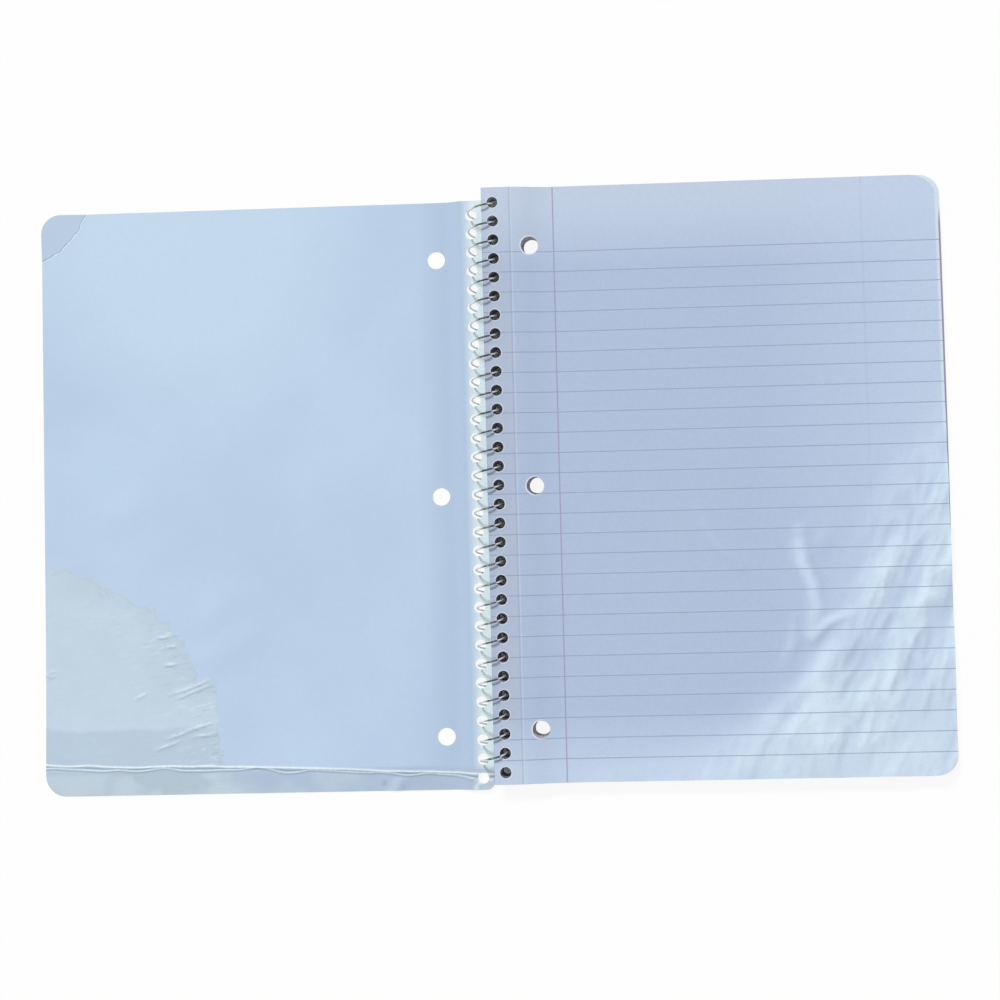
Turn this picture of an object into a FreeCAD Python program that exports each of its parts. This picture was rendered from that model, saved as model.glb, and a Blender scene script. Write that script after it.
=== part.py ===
# Open single-wire spiral notebook, lying on a table. The front cover is laid back on the left (-X),
# the ruled sheets and the back cover lie on the right (+X), the head of the pages points to +Y.
# Every piece is drawn about the coil: x = 0 on the coil's axis, y = 0 halfway along the piece,
# z = 0 on the table. Its Placement then puts the middle of the whole notebook on the origin.
import FreeCAD, Part
import math
import os
import Sketcher

THROUGH = 40.0  # a cut this deep passes any card or stack of sheets
SPARE = 2.0  # a bent card is drawn this much past its outline, which then trims it

DIMENSIONS = [
    ("sheet_width", 203.2, "sheets and covers are trimmed together, 8 in from the spine edge"),
    ("sheet_height", 266.0, "sheets and covers from head to foot, a little short of 10.5 in"),
    ("block_thickness", 7.2, "all the sheets together"),
    ("sheet_lean", 1.5, "how far the lowest sheet has slid out from under the top one"),
    ("front_thickness", 0.4, "card of the front cover"),
    ("back_thickness", 0.6, "board of the back cover"),
    ("corner_radius", 9.0, "outer corners of sheets and covers"),
    ("spine_corner_radius", 3.5, "worn corner of the front cover at the foot of the spine"),
    ("coil_pitch", 8.4667, "from coil hole to coil hole, 3 to the inch"),
    ("hole_margin", 5.2, "least distance of a coil hole's middle from the head or the foot"),
    ("hole_diameter", 5.0, "coil hole"),
    ("hole_inset", 4.95, "from the spine edge to the middle of a coil hole"),
    ("row_drop", 0.8, "the row of coil holes is punched this far off the middle, towards the foot"),
    ("binder_hole_diameter", 7.94, "hole for a ring binder, 5/16 in"),
    ("binder_hole_inset", 21.2, "from the spine edge to the middle of a binder hole"),
    ("binder_hole_spacing", 107.95, "from binder hole to binder hole, 4 1/4 in"),
    ("binder_hole_count", 3, "binder holes in each sheet and cover"),
    ("binder_drop", 1.4, "the binder holes are punched this far off the middle, towards the foot"),
    ("coil_radius", 6.2, "from the coil's axis to the middle of the wire"),
    ("wire_diameter", 0.8, "steel wire"),
    ("head_tail_angle", 66.0, "the wire starts this far round below the first page hole"),
    ("foot_tail_angle", 270.0, "the wire ends this far round past its last page hole"),
    ("wire_lead", 0.5, "the wire passes the middle of a page hole this far towards the head"),
    ("spine_gap", 0.15, "from the coil's axis to the spine edge of the top sheet and of the front cover"),
    ("block_crown", 4.0, "top sheet above the coil's axis, along the spine"),
    ("layer_gap", 0.12, "air between the lowest sheet and the back cover"),
    ("front_ride", 4.25, "from the coil's axis down to the inside of the front cover, along the spine"),
    ("front_drop", 3.6, "the wire's slope leads the front cover this far towards the foot"),
    ("back_lead", 0.9, "the wire's slope leads the back cover this far towards the head"),
    ("back_slip", 0.9, "the back cover has slid this far out from under the top sheet"),
    ("level_strip", 8.5, "strip along the spine edge that stays level on the coil"),
    ("sheet_bend_radius", 60.0, "the sheets come down to the table in two bends of this radius"),
    ("card_slope_length", 8.6, "the front cover comes down to the table within this length"),
    ("fold_margin", 11.0, "from the foot of the front cover to its creased fold"),
    ("fold_height", 1.5, "how high the fold stands off the table"),
    ("fold_run", 70.0, "the card rises to the fold over this length"),
    ("fold_fade", 25.0, "towards the spine the fold dies out over this length"),
]

doc = FreeCAD.newDocument("spiral_notebook")
sheet = doc.addObject("Spreadsheet::Sheet", "sizes")
for row, (name, value, note) in enumerate(DIMENSIONS, start=1):
    sheet.set("A%d" % row, name)
    sheet.set("B%d" % row, str(value))
    sheet.set("C%d" % row, note)
    sheet.setAlias("B%d" % row, name)
doc.recompute()


def size(name):
    return float(sheet.get(name))


# Lengths that several pieces share, as an expression for the features and as a number for the
# first guess that a sketch starts from

AXIS_HEIGHT = "(sizes.coil_radius + sizes.wire_diameter / 2)"
BLOCK_FLOOR = "(sizes.back_thickness + sizes.layer_gap)"
SPINE_RISE = "(" + AXIS_HEIGHT + " + sizes.block_crown - sizes.block_thickness - " + BLOCK_FLOOR + ")"
HOLE_STEPS = "floor((sizes.sheet_height - 2 * sizes.hole_margin) / sizes.coil_pitch)"
HOLE_COUNT = "(" + HOLE_STEPS + " + 1)"
COIL_ROW = "(" + HOLE_STEPS + " * sizes.coil_pitch)"
BINDER_ROW = "((sizes.binder_hole_count - 1) * sizes.binder_hole_spacing)"
MIDDLE_X = "(max(sizes.sheet_lean; sizes.back_slip) / 2)"
MIDDLE_Y = "((sizes.back_lead - sizes.front_drop) / 2)"

axis_height = size("coil_radius") + size("wire_diameter") / 2
block_floor = size("back_thickness") + size("layer_gap")
spine_rise = axis_height + size("block_crown") - size("block_thickness") - block_floor
hole_steps = math.floor((size("sheet_height") - 2 * size("hole_margin")) / size("coil_pitch"))
coil_row = hole_steps * size("coil_pitch")
binder_row = (size("binder_hole_count") - 1) * size("binder_hole_spacing")


# Sketch helpers

def new_sketch(body, name, plane):
    sketch = body.newObject("Sketcher::SketchObject", name)
    origin_plane = next(item for item in body.Origin.OriginFeatures if item.Role == plane)
    sketch.AttachmentSupport = [(origin_plane, "")]
    sketch.MapMode = "FlatFace"
    return sketch


def dimension(sketch, kind, where, name, value, expression):
    index = sketch.addConstraint(Sketcher.Constraint(kind, *where, value))
    sketch.renameConstraint(index, name)
    sketch.setExpression("Constraints." + name, expression)


def tie_point(sketch, geometry, point, name, spot, expressions):
    """Hold a point of the sketch at its x and y, measured from the sketch's origin."""
    for kind, letter, value, expression in zip(("DistanceX", "DistanceY"), "xy", spot, expressions):
        dimension(sketch, kind, (-1, 1, geometry, point), name + "_" + letter, value, expression)


def line(sketch, start, end):
    return sketch.addGeometry(Part.LineSegment(FreeCAD.Vector(*start, 0), FreeCAD.Vector(*end, 0)))


def circle(centre, radius):
    return Part.Circle(FreeCAD.Vector(*centre, 0), FreeCAD.Vector(0, 0, 1), radius)


def arc(sketch, centre, radius, start_angle, end_angle):
    return sketch.addGeometry(Part.ArcOfCircle(circle(centre, radius), start_angle, end_angle))


# Rows of holes, punched from below the table's level right through a card or the stack

def punch_row(body, name, centre_x, length, drop, count, diameter, leaning):
    x_value, x_expression = centre_x
    length_value, length_expression = length
    sketch = new_sketch(body, name, "XY_Plane")
    centre = (x_value, -length_value / 2 - size(drop))
    sketch.addGeometry(circle(centre, size(diameter) / 2))
    y_expression = "-" + length_expression + " / 2 - sizes." + drop
    tie_point(sketch, 0, 3, "centre", centre, (x_expression, y_expression))
    dimension(sketch, "Diameter", (0,), "bore", size(diameter), "sizes." + diameter)
    punch = body.newObject("PartDesign::Pocket", name + "_punch")
    punch.Profile = sketch
    punch.SideType = "Symmetric"
    punch.Length = 2 * THROUGH
    if leaning:
        punch.UseCustomVector = True
        punch.Direction = FreeCAD.Vector(-size("sheet_lean"), 0, size("block_thickness"))
        punch.setExpression("Direction.x", "-sizes.sheet_lean")
        punch.setExpression("Direction.z", "sizes.block_thickness")
    row = body.newObject("PartDesign::LinearPattern", name + "_row")
    row.Originals = [punch]
    row.Direction = (sketch, ["V_Axis"])
    row.setExpression("Length", length_expression)
    row.setExpression("Occurrences", count)
    body.Tip = row


def punch_holes(body, side, slip, leaning=False):
    """Coil holes and binder holes of one piece. side is 1 to the right of the coil and -1 to the left;
    slip is how far the piece has moved away from the coil, as a number and an expression."""
    sign = "" if side > 0 else "-"
    rows = (
        ("coil_holes", "hole_inset", (coil_row, COIL_ROW), "row_drop", HOLE_COUNT, "hole_diameter"),
        ("binder_holes", "binder_hole_inset", (binder_row, BINDER_ROW), "binder_drop",
         "sizes.binder_hole_count", "binder_hole_diameter"),
    )
    for name, inset, length, drop, count, diameter in rows:
        x_value = side * (size("spine_gap") + size(inset) + slip[0])
        x_expression = sign + "(sizes.spine_gap + sizes." + inset + " + " + slip[1] + ")"
        punch_row(body, name, (x_value, x_expression), length, drop, count, diameter, leaning)


# The stack of ruled sheets and the back cover lie on the table and rise to the coil

def rising_edge(sketch, name, spine_x, level):
    """One long edge of the section: level on the coil, down in two bends, level on the table."""
    radius = size("sheet_bend_radius")
    bend = math.acos(1 - spine_rise / (2 * radius))
    high = level[0] + spine_rise
    bend_x = spine_x[0] + size("level_strip")
    foot_x = bend_x + 2 * radius * math.sin(bend)
    outer_x = spine_x[0] + size("sheet_width")
    strip = line(sketch, (spine_x[0], high), (bend_x, high))
    crest = arc(sketch, (bend_x, high - radius), radius, math.pi / 2 - bend, math.pi / 2)
    trough = arc(sketch, (foot_x, level[0] + radius), radius, 1.5 * math.pi - bend, 1.5 * math.pi)
    flat = line(sketch, (foot_x, level[0]), (outer_x, level[0]))
    high_expression = level[1] + " + " + SPINE_RISE
    strip_end = spine_x[1] + " + sizes.level_strip"
    tie_point(sketch, strip, 1, name + "_spine", (spine_x[0], high), (spine_x[1], high_expression))
    tie_point(sketch, strip, 2, name + "_strip", (bend_x, high), (strip_end, high_expression))
    sketch.addConstraint(Sketcher.Constraint("Tangent", strip, 2, crest, 2))
    sketch.addConstraint(Sketcher.Constraint("Tangent", crest, 1, trough, 1))
    sketch.addConstraint(Sketcher.Constraint("Tangent", trough, 2, flat, 1))
    dimension(sketch, "Radius", (crest,), name + "_crest", radius, "sizes.sheet_bend_radius")
    sketch.addConstraint(Sketcher.Constraint("Horizontal", flat))
    outer_expressions = (spine_x[1] + " + sizes.sheet_width", level[1])
    tie_point(sketch, flat, 2, name + "_outer", (outer_x, level[0]), outer_expressions)
    return strip, flat


def outer_corner_edges(shape):
    """Names of the edges that stand between two long sides at the outer corners."""
    names = []
    for index, edge in enumerate(shape.Edges, start=1):
        start, end = (vertex.Point for vertex in edge.Vertexes)
        upright = abs(start.y - end.y) < abs(start.z - end.z) > abs(start.x - end.x)
        if upright and min(start.x, end.x) > shape.BoundBox.Center.x:
            names.append("Edge%d" % index)
    return names


def bent_stack(label, thickness, floor, slip, lean):
    """A stack that is bent across the spine. slip is where its lowest layer has moved to, and the top
    layer lies back from there by lean."""
    body = doc.addObject("PartDesign::Body", label)
    section = new_sketch(body, "section", "XZ_Plane")
    under_x = (size("spine_gap") + slip[0], "sizes.spine_gap + " + slip[1])
    top_x = (under_x[0] - lean[0], under_x[1] + " - " + lean[1])
    top_level = (floor[0] + size(thickness), floor[1] + " + sizes." + thickness)
    under_strip, under_flat = rising_edge(section, "under", under_x, floor)
    top_strip, top_flat = rising_edge(section, "top", top_x, top_level)
    for under, point, top in ((under_strip, 1, top_strip), (under_flat, 2, top_flat)):
        start = section.getPoint(under, point)
        end = section.getPoint(top, point)
        edge = line(section, (start.x, start.y), (end.x, end.y))
        section.addConstraint(Sketcher.Constraint("Coincident", edge, 1, under, point))
        section.addConstraint(Sketcher.Constraint("Coincident", edge, 2, top, point))
    pad = body.newObject("PartDesign::Pad", "stack")
    pad.Profile = section
    pad.SideType = "Symmetric"
    pad.setExpression("Length", "sizes.sheet_height")
    doc.recompute()
    corners = body.newObject("PartDesign::Fillet", "outer_corners")
    corners.Base = (pad, outer_corner_edges(pad.Shape))
    corners.setExpression("Radius", "sizes.corner_radius")
    body.Tip = corners
    doc.recompute()
    return body


def make_page_block():
    lean = (size("sheet_lean"), "sizes.sheet_lean")
    body = bent_stack("page_block", "block_thickness", (block_floor, BLOCK_FLOOR), lean, lean)
    crown = axis_height + size("block_crown")
    slip_value = size("sheet_lean") * crown / size("block_thickness")
    slip = "sizes.sheet_lean * (" + AXIS_HEIGHT + " + sizes.block_crown) / sizes.block_thickness"
    punch_holes(body, 1, (slip_value, slip), leaning=True)
    return body


def make_back_cover():
    slip = (size("back_slip"), "sizes.back_slip")
    body = bent_stack("back_cover", "back_thickness", (0, "0"), slip, (0, "0"))
    punch_holes(body, 1, slip)
    return body


# The front cover: its outline is punched from flat card, and a bent sheet gives it its form

def make_front_outline():
    """Flat card with its rounded corners and its holes, as high as any bend of it reaches."""
    body = doc.addObject("PartDesign::Body", "front_outline")
    sketch = new_sketch(body, "outline", "XY_Plane")
    inner = -size("spine_gap")
    outer = inner - size("sheet_width")
    half = size("sheet_height") / 2
    points = ((inner, half), (outer, half), (outer, -half), (inner, -half))
    for start, end in zip(points, points[1:] + points[:1]):
        line(sketch, start, end)
    for side in range(4):
        sketch.addConstraint(Sketcher.Constraint("Coincident", side, 2, (side + 1) % 4, 1))
    for side, direction in enumerate(("Horizontal", "Vertical", "Horizontal", "Vertical")):
        sketch.addConstraint(Sketcher.Constraint(direction, side))
    tie_point(sketch, 0, 1, "head", points[0], ("-sizes.spine_gap", "sizes.sheet_height / 2"))
    outer_expression = "-sizes.spine_gap - sizes.sheet_width"
    tie_point(sketch, 2, 1, "foot", points[2], (outer_expression, "-sizes.sheet_height / 2"))
    pad = body.newObject("PartDesign::Pad", "card")
    pad.Profile = sketch
    pad.SideType = "Symmetric"
    pad.Length = THROUGH
    doc.recompute()
    base = pad
    for name, radius, corner_x, corner_y in (
        ("outer_head_corner", "corner_radius", outer, half),
        ("outer_foot_corner", "corner_radius", outer, -half),
        ("spine_foot_corner", "spine_corner_radius", inner, -half),
    ):
        corner = FreeCAD.Vector(corner_x, corner_y, 0)
        upright = "Edge%d" % (1 + nearest_edge(base.Shape, corner))
        fillet = body.newObject("PartDesign::Fillet", name)
        fillet.Base = (base, [upright])
        fillet.setExpression("Radius", "sizes." + radius)
        body.Tip = fillet
        doc.recompute()
        base = fillet
    punch_holes(body, -1, (0, "0"))
    return body


def nearest_edge(shape, spot):
    """Index of the edge whose middle is nearest to the spot."""
    gaps = [(edge.CenterOfMass - spot).Length for edge in shape.Edges]
    return gaps.index(min(gaps))


def smooth_poles(stations):
    """Control values and knots of a curve that eases from station to station, level at each one."""
    poles = [stations[0]]
    for start, end in zip(stations, stations[1:]):
        third = (end[0] - start[0]) / 3
        poles.append((start[0] + third,) + start[1:])
        poles.append((end[0] - third,) + end[1:])
    poles.append(stations[-1])
    knots = [abs(station[0] - stations[0][0]) for station in stations]
    return poles, knots


def bent_sheet(across, along, thickness):
    """A sheet of even thickness. Each way has its control values and its knots: across holds
    (x, height, share of the fold) from the spine outwards, along holds (y, height of the fold)."""
    grid = []
    for x, height, share in across[0]:
        grid.append([FreeCAD.Vector(x, y, height + share * fold) for y, fold in along[0]])
    counts = [[4] + [2] * (len(knots) - 2) + [4] for knots in (across[1], along[1])]
    surface = Part.BSplineSurface()
    surface.buildFromPolesMultsKnots(grid, counts[0], counts[1], across[1], along[1], False, False, 3, 3)
    return surface.toShape().extrude(FreeCAD.Vector(0, 0, thickness))


def make_front_bend():
    """The card lies on the coil along the spine, comes down to the table, and rises again to the
    creased fold near its foot, from which the last strip slopes back down."""
    thickness = size("front_thickness")
    ride = axis_height - size("front_ride") - thickness
    strip_end = size("spine_gap") + size("level_strip")
    slope_end = strip_end + size("card_slope_length")
    outer = size("spine_gap") + size("sheet_width")
    across = smooth_poles([
        (SPARE, ride, 0.0),
        (-strip_end, ride, 0.0),
        (-slope_end, 0.0, 0.0),
        (-slope_end - size("fold_fade"), 0.0, 1.0),
        (-outer - SPARE, 0.0, 1.0),
    ])
    foot = -size("sheet_height") / 2
    head = size("sheet_height") / 2
    fold_y = foot + size("fold_margin")
    run_y = fold_y + size("fold_run")
    third = size("fold_run") / 3
    rise = size("fold_height")
    poles, knots = smooth_poles([(head + SPARE, 0.0), (run_y, 0.0)])
    panel_poles = poles[:-1] + [(run_y - third, 0.0), (fold_y + third, rise / 3), (fold_y, rise)]
    panel = bent_sheet(across, (panel_poles, knots + [head + SPARE - fold_y]), thickness)
    slope = rise / size("fold_margin")
    end_y = foot - SPARE
    end_z = -slope * SPARE
    strip_poles = [(fold_y + part * (end_y - fold_y) / 3, rise + part * (end_z - rise) / 3) for part in range(4)]
    strip = bent_sheet(across, (strip_poles, [0.0, fold_y - end_y]), thickness)
    bend = doc.addObject("Part::Feature", "front_bend")
    bend.Shape = panel.fuse(strip)
    return bend


def make_front_cover():
    cover = doc.addObject("Part::Common", "front_cover")
    cover.Base = make_front_bend()
    cover.Tool = make_front_outline()
    return cover


# The coil: one length of wire that runs as a right-handed helix from the head to the foot

def make_spiral_wire():
    body = doc.addObject("PartDesign::Body", "spiral_wire")
    sketch = new_sketch(body, "wire_end", "XY_Plane")
    start_turn = size("head_tail_angle") / 360
    centre = (size("coil_radius"), coil_row / 2 + size("wire_lead") + start_turn * size("coil_pitch"))
    sketch.addGeometry(circle(centre, size("wire_diameter") / 2))
    lead = COIL_ROW + " / 2 + sizes.wire_lead + sizes.coil_pitch * sizes.head_tail_angle / 360"
    tie_point(sketch, 0, 3, "wire", centre, ("sizes.coil_radius", lead))
    dimension(sketch, "Diameter", (0,), "gauge", size("wire_diameter"), "sizes.wire_diameter")
    helix = body.newObject("PartDesign::AdditiveHelix", "coil")
    helix.Profile = sketch
    helix.ReferenceAxis = (sketch, ["V_Axis"])
    helix.Mode = "pitch-height-angle"
    helix.Reversed = True
    turns = "(" + HOLE_STEPS + " - 1 + (sizes.head_tail_angle + sizes.foot_tail_angle) / 360)"
    helix.setExpression("Pitch", "sizes.coil_pitch")
    helix.setExpression("Height", "sizes.coil_pitch * " + turns)
    return body


def place(piece, lead):
    """Set the piece about the notebook's middle, moved along the coil by lead."""
    piece.setExpression("Placement.Base.x", "-" + MIDDLE_X)
    piece.setExpression("Placement.Base.y", "-" + MIDDLE_Y + " + " + lead)
    return piece


page_block = place(make_page_block(), "0")
back_cover = place(make_back_cover(), "sizes.back_lead")
front_cover = place(make_front_cover(), "-sizes.front_drop")
spiral_wire = place(make_spiral_wire(), "-sizes.row_drop")
spiral_wire.setExpression("Placement.Base.z", AXIS_HEIGHT)
spiral_wire.Placement.Rotation = FreeCAD.Rotation(FreeCAD.Vector(0, 1, 0), size("head_tail_angle"))
spiral_wire.setExpression("Placement.Rotation.Angle", "sizes.head_tail_angle")
doc.recompute()

os.makedirs("parts", exist_ok=True)
failed = [item.Name for item in doc.Objects if "Invalid" in item.State or "Error" in item.State]
if failed:
    raise RuntimeError("failed features: " + ", ".join(failed))
pieces = (page_block, back_cover, front_cover, spiral_wire)
for piece in pieces:
    shape = piece.Shape
    if shape.isNull() or not shape.isValid() or len(shape.Solids) != 1:
        raise RuntimeError("no single sound solid: " + piece.Label)
for piece in pieces:
    shape = piece.Shape
    box = shape.BoundBox
    print("%-12s volume %9.1f mm3, x %.2f to %.2f, y %.2f to %.2f, z %.2f to %.2f" % (
        piece.Label, shape.Volume, box.XMin, box.XMax, box.YMin, box.YMax, box.ZMin, box.ZMax))
    shape.exportStep("parts/" + piece.Label + ".step")
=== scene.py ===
# %% [markdown]
# # An open spiral notebook
# The solids of the notebook come from the CAD pack: the stack of ruled sheets, the two covers and the
# coil of wire. They say where everything is. Each of them is flat and plain, so this lesson makes a
# finer piece for each one: sheets that can be told apart, a top sheet that has got damp and dried in
# wrinkles, a front cover that has been folded and stained, and a wire that isn't perfectly even.
# Everything is worked out in millimetres on the notebook and turned into metres at the end.

# %% Load the solids of the notebook
import math
import random

import bpy
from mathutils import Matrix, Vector, noise


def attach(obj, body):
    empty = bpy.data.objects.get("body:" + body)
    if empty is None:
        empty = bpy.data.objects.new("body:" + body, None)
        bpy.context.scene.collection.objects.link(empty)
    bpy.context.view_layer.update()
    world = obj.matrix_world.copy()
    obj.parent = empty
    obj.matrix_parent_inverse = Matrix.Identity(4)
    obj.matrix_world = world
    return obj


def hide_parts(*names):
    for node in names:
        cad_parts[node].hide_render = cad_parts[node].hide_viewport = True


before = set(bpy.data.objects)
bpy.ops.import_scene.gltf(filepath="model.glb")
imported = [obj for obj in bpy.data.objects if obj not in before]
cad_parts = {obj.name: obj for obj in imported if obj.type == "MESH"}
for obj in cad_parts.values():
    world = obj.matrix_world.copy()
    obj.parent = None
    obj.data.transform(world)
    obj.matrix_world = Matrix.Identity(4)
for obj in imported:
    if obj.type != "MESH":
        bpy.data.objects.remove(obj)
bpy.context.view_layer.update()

MM = 0.001

# %% [markdown]
# ## Sizes that every piece shares
# The coil's axis runs along Y, above the table. Both rows of coil holes are measured from the middle
# of the first hole at the head, and a hole comes every third of an inch. The sheets and the covers
# are cut to one size, and the binder's holes are four and a quarter inches apart.

# %% Sizes in millimetres
AXIS_X = -0.75
AXIS_Z = 6.6
SHEET_WIDTH = 203.2
SHEET_HEIGHT = 266.0
CORNER_RADIUS = 9.0
HOLE_PITCH = 8.4667
HOLE_COUNT = 31
HOLE_RADIUS = 2.5
HOLE_INSET = 4.95
ROW_TO_HEAD = 6.8
BINDER_RADIUS = 3.97
BINDER_INSET = 21.2
BINDER_SPACING = 107.95
BINDER_DROP = 1.4
PAGES_X = -0.6
PAGES_Y = 1.35
FRONT_X = -0.9
FRONT_Y = -2.25
BACK_X = 0.3
BACK_Y = 2.25
PAGES_TOP = 10.6
BLOCK_THICKNESS = 7.2
SHEET_LEAN = 1.5
PAPER = 0.1
LEVEL_STRIP = 8.5
BEND_RADIUS = 60.0
BEND_FALL = 2.68

# %% [markdown]
# ## Helpers for cutting a sheet
# A sheet is made as a printer makes it. A flat grid of small squares is given the thickness of the
# paper, a die with rounded corners trims its outline, and a row of round punches opens the holes.
# The grid is what lets the sheet be bent and wrinkled afterwards, because a bend needs points to
# bend at. Die and punches are ordinary solids, used with the Boolean modifier.

# %% Select one object, and apply a modifier to it
def pick(piece):
    bpy.ops.object.select_all(action="DESELECT")
    piece.select_set(True)
    bpy.context.view_layer.objects.active = piece


def finish_with(piece, kind, **settings):
    pick(piece)
    modifier = piece.modifiers.new(kind.title(), kind)
    for name, value in settings.items():
        setattr(modifier, name, value)
    bpy.ops.object.modifier_apply(modifier=modifier.name)


def cut_with(piece, tool, operation):
    finish_with(piece, "BOOLEAN", object=tool, operation=operation, solver="EXACT")
    bpy.data.objects.remove(tool)


# %% The blank: a grid with the thickness of the sheet, its upper side at z = 0
TRIM = 4.0


def blank_sheet(name, left, middle_y, thickness, squares):
    bpy.ops.object.select_all(action="DESELECT")
    bpy.ops.mesh.primitive_grid_add(x_subdivisions=squares[0], y_subdivisions=squares[1], size=1)
    blank = bpy.context.object
    blank.name = name
    blank.data.name = name
    blank.scale = ((SHEET_WIDTH + TRIM) * MM, (SHEET_HEIGHT + TRIM) * MM, 1)
    blank.location = ((left + SHEET_WIDTH / 2) * MM, middle_y * MM, 0)
    bpy.ops.object.transform_apply(location=True, rotation=False, scale=True)
    finish_with(blank, "SOLIDIFY", thickness=thickness * MM, offset=-1)
    return blank


# %% The die that trims the outline: a plane with rounded corners, extruded
DIE_HEIGHT = 40.0


def outline_die(left, middle_y, corners):
    """The corners are given by their side in x and in y, -1 or 1, and their radius."""
    bpy.ops.object.select_all(action="DESELECT")
    centre = ((left + SHEET_WIDTH / 2) * MM, middle_y * MM, -DIE_HEIGHT / 2 * MM)
    bpy.ops.mesh.primitive_plane_add(size=1, location=centre)
    die = bpy.context.object
    die.scale = (SHEET_WIDTH * MM, SHEET_HEIGHT * MM, 1)
    bpy.ops.object.transform_apply(location=True, rotation=False, scale=True)
    for side_x, side_y, radius in corners:
        x = (left + SHEET_WIDTH * (side_x + 1) / 2) * MM
        y = (middle_y + SHEET_HEIGHT * side_y / 2) * MM
        for part in (*die.data.edges, *die.data.polygons):
            part.select = False
        for vertex in die.data.vertices:
            vertex.select = math.hypot(vertex.co.x - x, vertex.co.y - y) < 1 * MM
        bpy.ops.object.mode_set(mode="EDIT")
        bpy.ops.mesh.select_mode(type="VERT")
        bpy.ops.mesh.bevel(offset=radius * MM, segments=10, affect="VERTICES")
        bpy.ops.object.mode_set(mode="OBJECT")
    bpy.ops.object.mode_set(mode="EDIT")
    bpy.ops.mesh.select_all(action="SELECT")
    bpy.ops.mesh.extrude_region_move(TRANSFORM_OT_translate={"value": (0, 0, DIE_HEIGHT * MM)})
    bpy.ops.mesh.select_all(action="SELECT")
    bpy.ops.mesh.normals_make_consistent(inside=False)
    bpy.ops.object.mode_set(mode="OBJECT")
    return die


# %% The punches: one round bar for each hole, joined into one tool
PUNCH_LENGTH = 30.0


def hole_punches(left, inward, middle_y, fineness):
    spine_x = left if inward > 0 else left + SHEET_WIDTH
    coil_x = spine_x + inward * HOLE_INSET
    binder_x = spine_x + inward * BINDER_INSET
    first_y = middle_y + SHEET_HEIGHT / 2 - ROW_TO_HEAD
    binder_y = middle_y - BINDER_DROP
    finer = fineness * 3 // 2
    spots = [(coil_x, first_y - HOLE_PITCH * n, HOLE_RADIUS, fineness) for n in range(HOLE_COUNT)]
    spots += [(binder_x, binder_y + BINDER_SPACING * n, BINDER_RADIUS, finer) for n in (1, 0, -1)]
    bars = []
    for x, y, radius, sides in spots:
        bpy.ops.mesh.primitive_cylinder_add(vertices=sides, radius=radius * MM, depth=PUNCH_LENGTH * MM,
                                            location=(x * MM, y * MM, 0))
        bars.append(bpy.context.object)
    bpy.ops.object.select_all(action="DESELECT")
    for bar in bars:
        bar.select_set(True)
    bpy.context.view_layer.objects.active = bars[0]
    bpy.ops.object.join()
    bpy.ops.object.transform_apply(location=True, rotation=True, scale=True)
    return bars[0]


def cut_sheet(name, left, inward, middle_y, thickness, squares, corners, fineness, rows=None):
    sheet = blank_sheet(name, left, middle_y, thickness, squares)
    if rows:
        for vertex in sheet.data.vertices:
            vertex.co.y = rows(vertex.co.y / MM) * MM
    cut_with(sheet, outline_die(left, middle_y, corners), "INTERSECT")
    cut_with(sheet, hole_punches(left, inward, middle_y, fineness), "DIFFERENCE")
    print(name, "cut,", len(sheet.data.polygons), "faces")
    return sheet


# %% [markdown]
# ## Small tools for shaping
# A ramp goes smoothly from 0 to 1. The distance to a drawn line is what creases, ridges and the edge
# of the stain are made from: each of them is a few points drawn on the notebook, and its
# height or strength falls off on both sides of that line.

# %% Ramp, distance to a drawn line, and a patch of smooth unevenness
def ramp(value, start, end):
    t = min(max((value - start) / (end - start), 0.0), 1.0)
    return t * t * (3 - 2 * t)


def beside_line(x, y, line):
    """How far off a drawn line a point is, how far along it (0 to 1), and on which side."""
    best, along_best, side = 1e9, 0.0, 1.0
    runs = list(zip(line, line[1:]))
    for number, ((ax, ay), (bx, by)) in enumerate(runs):
        dx, dy = bx - ax, by - ay
        t = min(max(((x - ax) * dx + (y - ay) * dy) / (dx * dx + dy * dy), 0.0), 1.0)
        away = math.hypot(x - ax - t * dx, y - ay - t * dy)
        if away < best:
            best, along_best = away, (number + t) / len(runs)
            side = 1.0 if dx * (y - ay) - dy * (x - ax) > 0 else -1.0
    return best, along_best, side


def unevenness(x, y, across, along, lean_degrees, seed):
    """Smooth noise, drawn out in one direction. Across and along are the sizes of its patches."""
    turn = math.radians(lean_degrees)
    u = x * math.cos(turn) + y * math.sin(turn)
    v = -x * math.sin(turn) + y * math.cos(turn)
    return noise.noise(Vector((u / along + seed, v / across - seed, seed * 1.7)))


# %% [markdown]
# ## How the open sheets lie
# Along the spine the sheets ride up on the coil. They stay level for the width of the holes and then
# come down to the table in two gentle bends, one after the other, as thick paper does.

# %% Height of the bent stack, measured down from its level strip
def sheet_fall(inward):
    """How far a sheet has come down at this distance from its spine edge."""
    half_bend = math.acos(1 - BEND_FALL / 2 / BEND_RADIUS)
    reach = BEND_RADIUS * math.sin(half_bend)
    into = inward - LEVEL_STRIP
    if into <= 0:
        return 0.0
    if into < reach:
        return BEND_RADIUS - math.sqrt(BEND_RADIUS ** 2 - into ** 2)
    if into < 2 * reach:
        return BEND_FALL - (BEND_RADIUS - math.sqrt(BEND_RADIUS ** 2 - (2 * reach - into) ** 2))
    return BEND_FALL


print("the sheets have come down", round(sheet_fall(40), 2), "mm at 40 mm from the spine")

# %% [markdown]
# ## The wrinkled corner of the top sheet
# The lower right of the page has been wet. Damp paper swells, can't spread, and dries in folds that
# run from the foot up to the right. They are real bends in the sheet here: one tall ridge, a curved
# edge beside it, and rows of smaller folds towards the outer edge, all of them fading out towards
# the dry part of the page.

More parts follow.
